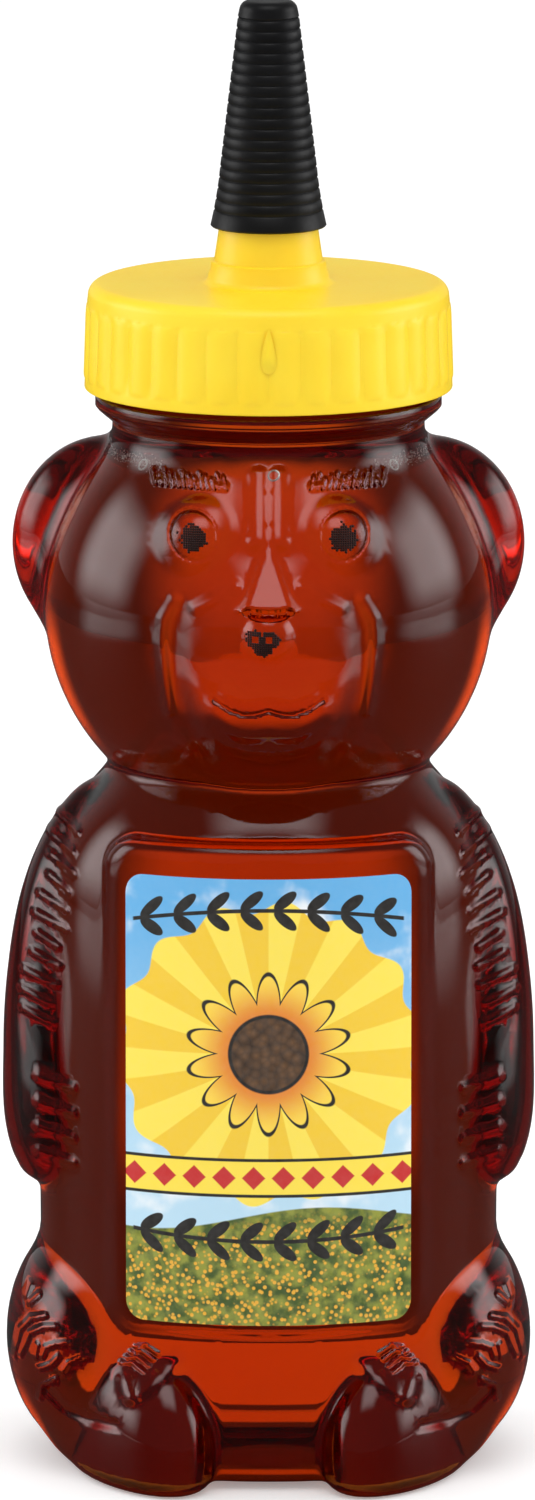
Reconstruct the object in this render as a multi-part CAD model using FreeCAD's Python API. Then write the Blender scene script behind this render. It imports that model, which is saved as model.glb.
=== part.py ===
import FreeCAD, Part
import math
import os

os.makedirs("parts", exist_ok=True)

# Driving dimensions, millimetres, Z up, the bear faces -Y

# Bottle walls and fits
wall = 0.8                # blown wall all over the bear
base_wall = 1.0           # thicker floor of the bottle
honey_gap = 0.2           # honey to the inside of the wall
label_gap = 0.02          # glue line under the label

# Torso, a tall oval tub that closes to the shoulders
torso_h = 81.5            # floor to the end hidden in the head
torso_half_w = 25.6       # to each side
torso_half_d = 24.5       # to the front and back
push_up_r = 15.0          # hollow under the floor
push_up_h = 1.8           # its height

# Head
head_r = 25.0             # ball of the head
head_lift = 14.8          # its centre above the end of the torso

# Ears
ear_in = 7.0              # centre of each ear inside the side of the head
ear_y = 3.5               # set back from the middle
ear_up = 6.3              # above the centre of the head
ear_half_w = 10.6         # half width
ear_half_d = 6.6          # half thickness
ear_half_h = 12.0         # half height

# Muzzle, nose and eyes
muzzle_in = 11.0          # centre behind the front of the head
muzzle_drop = 5.3         # below the centre of the head
muzzle_half_w = 13.0
muzzle_half_d = 13.8
muzzle_half_h = 12.1
nose_r = 3.1              # nose ball
nose_up = 0.9             # above the centre of the head
nose_out = 0.9            # its centre in front of the head
bridge_in = 4.5           # ridge from the brow down to the nose
bridge_up = 3.2
bridge_half_w = 4.2
bridge_half_d = 5.5
bridge_half_h = 8.0
eye_r = 2.7               # eye ball
eye_x = 8.4               # each eye from the middle
eye_up = 11.1             # above the centre of the head
eye_sink = 0.9            # ball centre below the skin of the head
mound_r = 7.7             # low round swelling that holds the eye
mound_sink = 6.9          # its centre below the skin of the head

# Arms, round limbs down both sides
arm_in = 6.1              # axis of each arm inside the side of the torso
arm_y = 3.5               # axis in front of the middle
shoulder_drop = 5.1       # end of the arm below the end of the torso
arm_h = 45.6              # paw to shoulder
arm_r = 10.2              # thickest radius

# Legs and feet
thigh_in = 6.1            # centre of each thigh inside the side of the torso
thigh_y = 2.0             # in front of the middle
thigh_z = 13.6
thigh_half_w = 9.9
thigh_half_d = 17.5
thigh_half_h = 13.4
foot_in = 11.2            # centre of each shin and foot inside the side of the torso
foot_back = 10.0          # behind the front of the torso
foot_z = 4.5
foot_half_w = 7.2
foot_half_d = 15.0
foot_half_h = 12.0

# Raised panel that carries the label
panel_w = 36.4
panel_low_z = 17.6
panel_drop = 8.2          # upper edge below the end of the torso
panel_corner_r = 4.0
panel_rise = 0.9          # proud of the torso
panel_bow_r = 31.0        # radius of its curved face
panel_edge_r = 1.5        # rounding around its face

# Label
label_side_gap = 1.6      # panel left bare at each side
label_low_gap = 1.7       # and below
label_top_gap = 3.6       # and above
label_corner_r = 2.2
label_t = 0.12

# Neck with a 38 mm finish
neck_r = 17.4             # neck and thread root
neck_h = 15.65            # from the head to the rim
neck_sink = 8.25          # hidden in the head
neck_wall = 1.8           # around the open bore
bead_out = 1.9            # bead below the cap, proud of the neck
bead_h = 1.4              # its upright side
bead_slope_h = 1.5        # its sloping side below
bead_drop = 9.8           # its top below the rim
rim_edge = 0.5            # bevel of the rim
fill_drop = 6.4           # honey level below the rim

# Liner
liner_t = 1.0
liner_fit = 1.35          # clear of the skirt all around
liner_hole_r = 8.0

# Cap, ribbed skirt and spout
cap_clear = 0.6           # foot of the skirt above the bead
cap_room = 1.55           # inside of the skirt to the neck
cap_wall = 1.55           # skirt at its foot
cap_taper = 0.4           # skirt narrower at the deck
deck_t = 1.6
cap_edge_r = 1.4          # rounding around the deck
rim_band_h = 1.1          # plain band at the foot of the skirt
rib_h = 0.2               # rib proud of the skirt
rib_root = 0.15           # rib buried in the skirt
rib_band_top = 2.4        # ribs end this far below the deck
spout_foot_out = 0.35     # wide foot of the spout
spout_foot_h = 2.5
spout_flare = 0.9         # cove between deck and spout
spout_r = 6.05            # cone above the foot
spout_tip_r = 2.2
spout_h = 29.0            # deck to the end of the spout
spout_wall = 1.1
spout_hole_r = 1.2

# Tip cover
cover_lift = 6.3          # foot of the cover above the deck
cover_fit = 0.3           # clear of the spout all around
cover_tip_gap = 1.0       # clear above the spout
cover_roof = 1.6
cover_foot_wall = 0.65    # at the flared foot
cover_waist_wall = 0.54   # where the flare ends
cover_waist_h = 6.1       # its height above the foot
cover_top_wall = 0.7
cover_edge_r = 1.1        # rounding at the top
ring_step = 0.07          # depth of each ring line
ring_gap = 0.3            # width of each ring line
ring_margin = 1.9         # plain part at each end

# Shapes given as shares and counts
torso_shares = (          # height, width, depth, squareness
    (0.000, 0.840, 0.840, 2.20),
    (0.012, 0.910, 0.905, 2.25),
    (0.040, 0.975, 0.970, 2.30),
    (0.090, 0.998, 0.995, 2.30),
    (0.180, 1.000, 1.000, 2.30),
    (0.360, 1.000, 1.000, 2.30),
    (0.600, 1.000, 1.000, 2.30),
    (0.740, 0.985, 0.985, 2.28),
    (0.840, 0.945, 0.950, 2.25),
    (0.905, 0.840, 0.880, 2.20),
    (0.945, 0.735, 0.780, 2.10),
    (0.975, 0.650, 0.670, 2.00),
    (1.000, 0.540, 0.550, 2.00),
)
arm_shares = (            # height, radius
    (0.000, 0.000),
    (0.006, 0.400),
    (0.022, 0.660),
    (0.055, 0.820),
    (0.100, 0.910),
    (0.155, 0.970),
    (0.310, 1.000),
    (0.420, 0.990),
    (0.600, 0.915),
    (0.750, 0.775),
    (0.860, 0.580),
    (0.940, 0.360),
    (0.985, 0.170),
    (1.000, 0.000),
)
section_points = 24
arm_tilt = -6.0           # degrees, paws lean forward
arm_seam = 270.0          # degrees about its axis, the seam runs down the front of each arm
foot_yaw = 20.0           # degrees, toes turn to the middle
rib_count = 36
ring_count = 19

# Places and sizes that follow from the driving ones
head_z = torso_h + head_lift
ear_x = head_r - ear_in
ear_z = head_z + ear_up
muzzle_y = head_r - muzzle_in
muzzle_z = head_z - muzzle_drop
nose_y = head_r + nose_out
nose_z = head_z + nose_up
bridge_y = head_r - bridge_in
bridge_z = head_z + bridge_up
eye_z = head_z + eye_up
arm_x = torso_half_w - arm_in
arm_low_z = torso_h - shoulder_drop - arm_h
thigh_x = torso_half_w - thigh_in
foot_x = torso_half_w - foot_in
foot_y = torso_half_d - foot_back
panel_top_z = torso_h - panel_drop
label_w = panel_w - 2 * label_side_gap
label_low_z = panel_low_z + label_low_gap
label_top_z = panel_top_z - label_top_gap
neck_foot_z = head_z + math.sqrt(head_r ** 2 - neck_r ** 2)
neck_low_z = neck_foot_z - neck_sink
bore_r = neck_r - neck_wall
rim_z = neck_foot_z + neck_h
bead_r = neck_r + bead_out
bead_top_z = rim_z - bead_drop
bead_flat_z = bead_top_z - bead_h
bead_low_z = bead_flat_z - bead_slope_h
fill_z = rim_z - fill_drop
cap_low_z = bead_top_z + cap_clear
cap_bore_r = neck_r + cap_room
cap_r = cap_bore_r + cap_wall
cap_top_r = cap_r - cap_taper
liner_r = cap_bore_r - liner_fit
under_z = rim_z + liner_t
deck_z = under_z + deck_t
spout_foot_r = spout_r + spout_foot_out
spout_end_z = deck_z + spout_h
cover_low_z = deck_z + cover_lift
cover_top_z = spout_end_z + cover_tip_gap + cover_roof

Z_AXIS = FreeCAD.Vector(0, 0, 1)
X_AXIS = FreeCAD.Vector(1, 0, 0)


def point(x, y, z):
    return FreeCAD.Vector(x, y, z)


def ellipsoid(x, y, z, half_x, half_y, half_z):
    ball = Part.makeSphere(half_x)
    stretch = FreeCAD.Matrix()
    stretch.scale(FreeCAD.Vector(1, half_y / half_x, half_z / half_x))
    solid = ball.transformGeometry(stretch)
    solid.translate(point(x, y, z))
    return solid


def turned(profile):
    wire = Part.makePolygon([point(r, 0, z) for r, z in profile + profile[:1]])
    return Part.Face(wire).revolve(point(0, 0, 0), Z_AXIS, 360)


def smooth_turned(profile):
    pts = [point(r, 0, z) for r, z in profile]
    curve = Part.BSplineCurve()
    curve.interpolate(pts)
    wire = Part.Wire([curve.toShape(), Part.LineSegment(pts[-1], pts[0]).toShape()])
    return Part.Face(wire).revolve(point(0, 0, 0), Z_AXIS, 360)


def oval(half_x, half_y, squareness, z):
    pts = []
    for i in range(section_points):
        a = 2 * math.pi * i / section_points
        c, s = math.cos(a), math.sin(a)
        x = math.copysign(abs(c) ** (2 / squareness), c) * half_x
        y = math.copysign(abs(s) ** (2 / squareness), s) * half_y
        pts.append(point(x, y, z))
    curve = Part.BSplineCurve()
    curve.interpolate(pts, PeriodicFlag=True)
    return Part.Wire([curve.toShape()])


def upright_plate(width, low_z, top_z, corner_r, reach):
    box = Part.makeBox(width, reach, top_z - low_z, point(-width / 2, -reach, low_z))
    corners = [e for e in box.Edges if abs(e.tangentAt(e.FirstParameter).y) > 0.9]
    return box.makeFillet(corner_r, corners)


def bowed(face_y, bow_r, low_z, top_z):
    return Part.makeCylinder(bow_r, top_z - low_z, point(0, bow_r - face_y, low_z))


def torso(inset, floor):
    wires = []
    for high, wide, deep, square in torso_shares:
        z = floor + high * (torso_h - floor)
        wires.append(oval(wide * torso_half_w - inset, deep * torso_half_d - inset, square, z))
    return Part.makeLoft(wires, True, False)


def arm(side, inset):
    rows = [(share * (arm_r - inset), inset + high * (arm_h - 2 * inset)) for high, share in arm_shares]
    solid = smooth_turned(rows)
    solid.rotate(point(0, 0, 0), Z_AXIS, arm_seam)
    solid.rotate(point(0, 0, arm_h / 2), X_AXIS, arm_tilt)
    solid.translate(point(side * arm_x, -arm_y, arm_low_z))
    return solid


def below_floor(floor):
    size = torso_h + torso_h
    return Part.makeBox(size, size, torso_h, point(-torso_h, -torso_h, floor - torso_h))


def push_up(inset):
    dome_r = (push_up_r ** 2 + push_up_h ** 2) / (2 * push_up_h)
    return Part.makeSphere(dome_r + inset, point(0, 0, push_up_h - dome_r))


def panel(inset):
    plate = upright_plate(panel_w - 2 * inset, panel_low_z + inset, panel_top_z - inset,
                          panel_corner_r - inset, torso_half_d + panel_bow_r)
    front = torso_half_d + panel_rise - inset
    solid = plate.common(bowed(front, panel_bow_r - inset, 0, torso_h))
    face = min(solid.Faces, key=lambda f: f.CenterOfMass.y)
    return solid.makeFillet(panel_edge_r, face.Edges)


def bear(inset, floor):
    parts = [
        Part.makeSphere(head_r - inset, point(0, 0, head_z)),
        ellipsoid(0, -muzzle_y, muzzle_z, muzzle_half_w - inset, muzzle_half_d - inset, muzzle_half_h - inset),
        panel(inset),
    ]
    for side in (-1, 1):
        parts.append(ellipsoid(side * ear_x, ear_y, ear_z,
                               ear_half_w - inset, ear_half_d - inset, ear_half_h - inset))
        parts.append(arm(side, inset))
        parts.append(ellipsoid(side * thigh_x, -thigh_y, thigh_z,
                               thigh_half_w - inset, thigh_half_d - inset, thigh_half_h - inset))
        foot = ellipsoid(0, 0, 0, foot_half_w - inset, foot_half_d - inset, foot_half_h - inset)
        foot.rotate(point(0, 0, 0), Z_AXIS, -side * foot_yaw)
        foot.translate(point(side * foot_x, -foot_y, foot_z))
        parts.append(foot)
    whole = torso(inset, floor).multiFuse(parts)
    return whole.cut([below_floor(floor), push_up(inset)])


def face_bumps():
    eye_y = math.sqrt(head_r ** 2 - eye_x ** 2 - (eye_z - head_z) ** 2)
    middle = point(0, 0, head_z)
    bumps = [
        Part.makeSphere(nose_r, point(0, -nose_y, nose_z)),
        ellipsoid(0, -bridge_y, bridge_z, bridge_half_w, bridge_half_d, bridge_half_h),
    ]
    for side in (-1, 1):
        skin = point(side * eye_x, -eye_y, eye_z) - middle
        bumps.append(Part.makeSphere(eye_r, middle + skin * (1 - eye_sink / head_r)))
        bumps.append(Part.makeSphere(mound_r, middle + skin * (1 - mound_sink / head_r)))
    return bumps


def bottle_shell():
    neck = turned([
        (0, neck_low_z),
        (neck_r, neck_low_z),
        (neck_r, bead_low_z),
        (bead_r, bead_flat_z),
        (bead_r, bead_top_z),
        (neck_r, bead_top_z),
        (neck_r, rim_z - rim_edge),
        (neck_r - rim_edge, rim_z),
        (0, rim_z),
    ])
    outside = bear(0, 0).multiFuse([neck] + face_bumps())
    bore = Part.makeCylinder(bore_r, rim_z - head_z + rim_edge, point(0, 0, head_z))
    inside = bear(wall, base_wall).fuse(bore)
    return outside.cut(inside)


def honey_fill():
    inset = wall + honey_gap
    level = Part.makeCylinder(bore_r - honey_gap, fill_z - head_z, point(0, 0, head_z))
    return bear(inset, base_wall + honey_gap).fuse(level)


def front_label():
    plate = upright_plate(label_w, label_low_z, label_top_z, label_corner_r, torso_half_d + panel_bow_r)
    under = torso_half_d + panel_rise + label_gap
    outer = bowed(under + label_t, panel_bow_r + label_gap + label_t, 0, torso_h)
    inner = bowed(under, panel_bow_r + label_gap, 0, torso_h)
    return plate.common(outer.cut(inner))


def cap_liner():
    disc = Part.makeCylinder(liner_r, liner_t, point(0, 0, rim_z))
    return disc.cut(Part.makeCylinder(liner_hole_r, liner_t, point(0, 0, rim_z)))


def rib_ring(core_r, z):
    pitch = 2 * math.pi / rib_count
    low, high = core_r - rib_root, core_r + rib_h
    arcs = []
    for i in range(rib_count):
        ends = [point(r * math.cos(a), r * math.sin(a), z)
                for r, a in ((low, i * pitch), (high, (i + 1 / 2) * pitch), (low, (i + 1) * pitch))]
        arcs.append(Part.Arc(*ends).toShape())
    return Part.Wire(arcs)


def spout_radius(z):
    share = (z - deck_z - spout_foot_h) / (spout_h - spout_foot_h)
    return spout_r + share * (spout_tip_r - spout_r)


def spout_cap():
    lean = (cap_r - cap_top_r) / (deck_z - cap_low_z)
    core = turned([
        (0, cap_low_z),
        (cap_r, cap_low_z),
        (cap_top_r, deck_z),
        (0, deck_z),
    ])
    top = [e for e in core.Edges if abs(e.BoundBox.ZMin - deck_z) < rib_root and e.BoundBox.XMax > cap_bore_r]
    core = core.makeFillet(cap_edge_r, top)
    low_z, high_z = cap_low_z + rim_band_h, deck_z - rib_band_top
    ribs = Part.makeLoft([rib_ring(cap_r - lean * rim_band_h, low_z),
                          rib_ring(cap_top_r + lean * rib_band_top, high_z)], True, True)
    foot_z = deck_z + spout_foot_h
    spout = turned([
        (0, under_z),
        (spout_foot_r + spout_flare, under_z),
        (spout_foot_r + spout_flare, deck_z),
        (spout_foot_r, deck_z + spout_flare),
        (spout_foot_r, foot_z),
        (spout_r, foot_z),
        (spout_tip_r, spout_end_z),
        (0, spout_end_z),
    ])
    skirt_bore = Part.makeCylinder(cap_bore_r, under_z - cap_low_z, point(0, 0, cap_low_z))
    passage = turned([
        (0, under_z - deck_t),
        (spout_foot_r - spout_wall, under_z - deck_t),
        (spout_foot_r - spout_wall, deck_z),
        (spout_hole_r, spout_end_z - spout_hole_r),
        (spout_hole_r, spout_end_z + spout_hole_r),
        (0, spout_end_z + spout_hole_r),
    ])
    return core.multiFuse([ribs, spout]).cut([skirt_bore, passage])


def tip_cover():
    waist_z = cover_low_z + cover_waist_h
    low_r = spout_radius(cover_low_z) + cover_fit + cover_foot_wall
    waist_r = spout_radius(waist_z) + cover_fit + cover_waist_wall
    top_r = spout_tip_r + cover_fit + cover_top_wall

    def outline(z):
        if z < waist_z:
            return low_r + (z - cover_low_z) / cover_waist_h * (waist_r - low_r)
        return waist_r + (z - waist_z) / (cover_top_z - waist_z) * (top_r - waist_r)

    rows = [(0, cover_low_z), (low_r, cover_low_z)]
    pitch = (cover_top_z - cover_low_z - 2 * ring_margin) / (ring_count - 1)
    bend_done = False
    for i in range(ring_count):
        z = cover_low_z + ring_margin + i * pitch
        if z > waist_z and not bend_done:
            rows.append((waist_r, waist_z))
            bend_done = True
        rows.append((outline(z - ring_gap / 2), z - ring_gap / 2))
        rows.append((outline(z) - ring_step, z))
        rows.append((outline(z + ring_gap / 2), z + ring_gap / 2))
    rows += [(top_r, cover_top_z), (0, cover_top_z)]
    solid = turned(rows)
    edge = [e for e in solid.Edges if abs(e.BoundBox.ZMin - cover_top_z) < ring_step]
    solid = solid.makeFillet(cover_edge_r, edge)
    hollow_z = cover_top_z - cover_roof
    start_z = cover_low_z - cover_fit
    hollow = turned([
        (0, start_z),
        (spout_radius(start_z) + cover_fit, start_z),
        (spout_tip_r + cover_fit, spout_end_z),
        (spout_tip_r + cover_fit, hollow_z),
        (0, hollow_z),
    ])
    return solid.cut(hollow)


PIECES = {
    "bottle_shell": bottle_shell,
    "honey_fill": honey_fill,
    "front_label": front_label,
    "cap_liner": cap_liner,
    "spout_cap": spout_cap,
    "tip_cover": tip_cover,
}
for node, make in PIECES.items():
    shape = make()
    print(node, shape.isValid(), len(shape.Solids), round(shape.Volume, 1))
    shape.exportStep("parts/" + node + ".step")
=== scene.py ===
import math
from functools import partialmethod

import bmesh
import bpy
import numpy as np
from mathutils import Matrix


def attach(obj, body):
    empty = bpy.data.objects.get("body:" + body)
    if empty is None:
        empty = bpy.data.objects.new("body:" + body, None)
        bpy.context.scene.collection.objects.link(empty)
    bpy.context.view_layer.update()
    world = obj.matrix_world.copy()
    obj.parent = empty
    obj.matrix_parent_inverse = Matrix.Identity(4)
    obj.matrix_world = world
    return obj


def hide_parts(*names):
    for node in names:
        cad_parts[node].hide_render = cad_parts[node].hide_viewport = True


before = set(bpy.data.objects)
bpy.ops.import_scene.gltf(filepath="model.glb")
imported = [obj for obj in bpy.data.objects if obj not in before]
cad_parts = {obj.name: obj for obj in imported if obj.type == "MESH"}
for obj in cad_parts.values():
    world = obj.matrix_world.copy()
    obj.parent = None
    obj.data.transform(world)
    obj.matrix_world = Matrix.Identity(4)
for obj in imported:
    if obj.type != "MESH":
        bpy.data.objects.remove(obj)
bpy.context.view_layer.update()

import openvdb
from mathutils import Vector

scene = bpy.context.scene

# Sizes in millimetres, as in the part's source; the bear faces -Y and meshes are scaled to metres at the end
MM = 0.001

# Walls
WALL = 0.8
BASE_WALL = 1.0
HONEY_INTO_WALL = 0.4

# Torso and shoulders
TORSO_H = 81.5
TORSO_HALF_W = 25.6
TORSO_HALF_D = 24.5
PUSH_UP_R = 15.0
PUSH_UP_H = 1.8
TORSO_SHARES = (          # height, width, depth, squareness
    (0.000, 0.840, 0.840, 2.20),
    (0.012, 0.910, 0.905, 2.25),
    (0.040, 0.975, 0.970, 2.30),
    (0.090, 0.998, 0.995, 2.30),
    (0.180, 1.000, 1.000, 2.30),
    (0.360, 1.000, 1.000, 2.30),
    (0.600, 1.000, 1.000, 2.30),
    (0.740, 0.985, 0.985, 2.28),
    (0.840, 0.945, 0.950, 2.25),
    (0.905, 0.840, 0.880, 2.20),
    (0.945, 0.735, 0.780, 2.10),
    (0.975, 0.650, 0.670, 2.00),
    (1.000, 0.540, 0.550, 2.00),
)

# Head, ears and muzzle
HEAD_R = 25.0
HEAD_Z = TORSO_H + 14.8
EAR = ((18.0, 3.5, HEAD_Z + 6.3), (10.6, 6.6, 12.0))
MUZZLE = ((0.0, -14.0, HEAD_Z - 5.3), (13.0, 13.8, 12.1))
MUZZLE_TOP = ((0.0, -18.5, HEAD_Z + 1.7), (10.0, 8.8, 7.6))
NOSE_R = 3.1
NOSE = (0.0, -25.8, HEAD_Z + 0.9)
BRIDGE_TOP = (-22.9, HEAD_Z + 10.9)
BRIDGE_END = (-28.2, HEAD_Z + 3.6)
BRIDGE_HALF_W = 2.6
BRIDGE_DEEP = 5.0
EYE_R = 4.2
EYE_RING_R = 2.65
EYE_X = 8.3
EYE_Z = HEAD_Z + 11.3
EYE_SINK = 2.6
MOUND_R = 8.0
MOUND_SINK = 6.9

# Arms
ARM = (19.5, -3.5, 30.8)
ARM_H = 45.6
ARM_R = 10.2
ARM_TILT = math.radians(6)
ARM_SHARES = (            # height, radius
    (0.000, 0.000),
    (0.006, 0.400),
    (0.022, 0.660),
    (0.055, 0.820),
    (0.100, 0.910),
    (0.155, 0.970),
    (0.310, 1.000),
    (0.420, 0.990),
    (0.600, 0.915),
    (0.750, 0.775),
    (0.860, 0.580),
    (0.940, 0.360),
    (0.985, 0.170),
    (1.000, 0.000),
)

# Legs and feet
THIGH = ((19.5, -2.0, 13.6), (9.9, 17.5, 13.4))
FOOT = ((14.4, -14.5, 4.5), (7.2, 15.0, 12.0))
FOOT_YAW = math.radians(20)

# Label panel and label
PANEL_HALF_W = 18.2
PANEL_LOW_Z = 17.6
PANEL_TOP_Z = 73.3
PANEL_CORNER_R = 4.0
PANEL_RISE = 0.9
PANEL_BOW_R = 31.0
LABEL_HALF_W = 16.6
LABEL_LOW_Z = 19.3
LABEL_TOP_Z = 69.7
LABEL_CORNER_R = 2.2
LABEL_GAP = 0.02
LABEL_T = 0.12

# Neck with a 38 mm finish
NECK_R = 17.4
BORE_R = 15.6
BEAD_R = 19.3
RIM_Z = 129.9
BEAD_TOP_Z = RIM_Z - 9.8
FILL_Z = RIM_Z - 6.4
NECK_CUT_Z = 116.7        # the moulded bear ends here and the turned neck starts
THREAD_PITCH = 4.233
THREAD_TURNS = 1.3
THREAD_LOW_Z = 122.3
THREAD_OUT = 0.95

# Liner, cap and tip cover
LINER_T = 1.0
LINER_R = 17.6
LINER_HOLE_R = 8.0
CAP_LOW_Z = BEAD_TOP_Z + 0.6
CAP_R = 20.5
CAP_TOP_R = 20.1
CAP_BORE_R = 18.95
UNDER_Z = RIM_Z + LINER_T
DECK_Z = UNDER_Z + 1.6
CAP_EDGE_R = 1.4
RIB_COUNT = 36
RIB_OUT = 0.2
RIB_ROOT = 0.15
RIB_LOW_Z = CAP_LOW_Z + 1.1
RIB_TOP_Z = DECK_Z - 2.4
SPOUT_FOOT_R = 6.4
SPOUT_FOOT_Z = DECK_Z + 2.5
SPOUT_FLARE = 0.9
SPOUT_R = 6.05
SPOUT_TIP_R = 2.2
SPOUT_END_Z = DECK_Z + 29.0
SPOUT_HOLE_R = 1.2
SPOUT_WALL = 1.1
COVER_LOW_Z = DECK_Z + 6.3
COVER_TOP_Z = SPOUT_END_Z + 2.6
COVER_LOW_R = 6.45
COVER_WAIST_R = 5.45
COVER_WAIST_Z = COVER_LOW_Z + 6.1
COVER_TOP_R = 3.2
COVER_EDGE_R = 1.1
COVER_ROOF = 1.6
COVER_FIT = 0.3
RING_COUNT = 19
RING_MARGIN = 1.9
RING_GAP = 0.4
RING_STEP = 0.1

# Air trapped in the wall under the neck, with fine foam beside it; their pale colour is painted highlight
# for the light the air reflects. Turns are degrees from the front
BUBBLE_TURNS = (-50.6, 1.6, 50.6)
BUBBLE_Z = 113.85
BUBBLE_R = 0.62
BUBBLE_RIM_R = 0.11
AIR_SINK = 0.2
FOAM_COUNT = 260
FOAM_TURN, FOAM_TURN_SPREAD = 64, 12
FOAM_TURN_RANGE = (42, 88)
FOAM_Z, FOAM_Z_SPREAD = 114.2, 0.33
FOAM_LEAST_R, FOAM_MORE_R = 0.04, 0.06

# Stipple of the pupils and the nose; the grains' near-black colour is painted shade
GRAIN_R = 0.19
GRAIN_FLAT_SHARE = 0.45
GRAIN_PITCH = 0.25
PUPIL_R, PUPIL_ROUGH = 1.42, 0.13
PUPIL_DROP = 0.2
NOSE_LOBE_R, NOSE_ROUGH = 1.05, 0.1
NOSE_HOLE_R = 0.4
NOSE_MARK_X, NOSE_MARK_DROP = -0.7, 0.3

# Camera, from the photograph's 535 x 1500 pixels
IMAGE_W, IMAGE_H = 535, 1500
PX_PER_MM = 8.95
AXIS_PX = 268.5
FLOOR_PX = 1450.0
CAMERA_UP = math.radians(10.5)
CAMERA_FAR = 2000.0
SENSOR = 36.0

# Mesh fineness, and the corners of the boxes that are meshed
SKIN_VOXEL = 1.1
SKIN_BOX = ((-30.8, -30.8, -2.2), (30.8, 30.8, NECK_CUT_Z + 8.8))
HOLLOW_VOXEL = 1.7
HOLLOW_BOX = ((-30.6, -30.6, -1.7), (30.6, 30.6, NECK_CUT_Z + 3.4))
HONEY_VOXEL = 1.5
HONEY_BOX = ((-30, -30, -1.5), (30, 30, FILL_Z + 3))
OFF_AXIS = 1e-3           # the torso's field has no direction on its axis

# Studio, in metres but for the floor's half size; levels are shares of white
FLOOR_HALF = 3000.0
FLOOR_PALE = ((0.9, 0.9, 0.9), (0.93, 0.93, 0.93))
FLOOR_POLISH_LEVELS = (0.04, 0.77)        # dark, band
FLOOR_GLASS_LEVELS = (0.09, 0.22, 0.6)    # dim, front half, lit
FLOOR_GLOW = 0.25
POLISH_BAND_START = 0.36
GLASS_BAND_START = 0.13
PATCH_Y = 0.03
PATCH_HALF_W, PATCH_HALF_D = 0.026, 0.052
ROOM_MATT_LEVEL = 0.9
ROOM_POLISH_LEVELS = (0.08, 0.4)          # around, behind
ROOM_GLASS_LEVELS = (0.12, 0.3, 0.76)     # dim, front half, band
BOX_AIM_Z = 0.08
BOX_FADE_SHARE = 0.35
BOX_PEAK = 1.3


# Curves through tables of shares

class Spline:
    """Natural cubic through (place, value) rows, straight beyond both ends."""

    def __init__(self, places, values):
        x, y = np.array(places, float), np.array(values, float)
        n = len(x)
        h = np.diff(x)
        a = np.eye(n)
        b = np.zeros(n)
        for i in range(1, n - 1):
            a[i, i - 1:i + 2] = h[i - 1], 2 * (h[i - 1] + h[i]), h[i]
            b[i] = 6 * ((y[i + 1] - y[i]) / h[i] - (y[i] - y[i - 1]) / h[i - 1])
        self.x, self.y, self.h, self.m = x, y, h, np.linalg.solve(a, b)

    def at(self, t):
        """Value and slope at t."""
        i = np.clip(np.searchsorted(self.x, t) - 1, 0, len(self.h) - 1)
        inside = np.clip(t, self.x[0], self.x[-1])
        h, lo, hi = self.h[i], self.m[i], self.m[i + 1]
        u, v = (self.x[i + 1] - inside) / h, (inside - self.x[i]) / h
        value = u * self.y[i] + v * self.y[i + 1] + ((u ** 3 - u) * lo + (v ** 3 - v) * hi) * h * h / 6
        slope = (self.y[i + 1] - self.y[i]) / h + ((1 - 3 * u * u) * lo + (3 * v * v - 1) * hi) * h / 6
        return value + slope * (t - inside), slope


height, width, depth, squareness = np.array(TORSO_SHARES).T
torso_w = Spline(height * TORSO_H, width * TORSO_HALF_W)
torso_d = Spline(height * TORSO_H, depth * TORSO_HALF_D)
torso_n = Spline(height * TORSO_H, squareness)
height, radius = np.array(ARM_SHARES).T
arm_r2 = Spline(height * ARM_H, (radius * ARM_R) ** 2)


# Distance fields in millimetres, below zero inside; x is taken as |x| because the bear is mirrored

def soft_min(a, b, k):
    h = np.maximum(k - np.abs(a - b), 0) / k
    return np.minimum(a, b) - h * h * k / 4


def soft_max(a, b, k):
    return -soft_min(-a, -b, k)


def length(x, y, z):
    return np.sqrt(x * x + y * y + z * z)


def ball(x, y, z, centre, r):
    return length(x - centre[0], y - centre[1], z - centre[2]) - r


def egg(x, y, z, shape):
    (cx, cy, cz), (a, b, c) = shape
    px, py, pz = (x - cx) / a, (y - cy) / b, (z - cz) / c
    k0, k1 = length(px, py, pz), length(px / a, py / b, pz / c)
    return k0 * (k0 - 1) / np.maximum(k1, 1e-9)


def rod(x, y, z, start, end, start_r, end_r):
    """A tapered rod with round ends."""
    s = np.array(start)
    d = np.array(end) - s
    dx, dy, dz = x - s[0], y - s[1], z - s[2]
    t = np.clip((dx * d[0] + dy * d[1] + dz * d[2]) / (d @ d), 0, 1)
    return length(dx - t * d[0], dy - t * d[1], dz - t * d[2]) - (start_r + t * (end_r - start_r))


def torso_field(x, y, z):
    low = np.clip(z, 0, TORSO_H)
    a, slope = torso_w.at(low)
    b, _ = torso_d.at(low)
    n, _ = torso_n.at(low)
    x, y = np.abs(x) + OFF_AXIS, np.abs(y) + OFF_AXIS
    share = ((x / a) ** n + (y / b) ** n) ** (1 / n)
    r = np.hypot(x, y)
    side = (r - r / share) / np.sqrt(1 + slope * slope)
    return np.maximum(side, z - TORSO_H)


def arm_field(x, y, z):
    middle = ARM_H / 2
    dy, dz = y - ARM[1], z - ARM[2] - middle
    c, s = math.cos(ARM_TILT), math.sin(ARM_TILT)
    along = dy * s + dz * c + middle
    across = dy * c - dz * s
    r2 = (x - ARM[0]) ** 2 + across ** 2
    limit, slope = arm_r2.at(along)
    return (r2 - limit) / np.sqrt(4 * r2 + slope * slope + 1e-6)


def leg_field(x, y, z):
    c, s = math.cos(FOOT_YAW), math.sin(FOOT_YAW)
    (fx, fy, fz), half = FOOT
    dx, dy = x - fx, y - fy
    foot = egg(dx * c - dy * s, dx * s + dy * c, z - fz, ((0, 0, 0), half))
    return soft_min(egg(x, y, z, THIGH), foot, 3.0)


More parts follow.
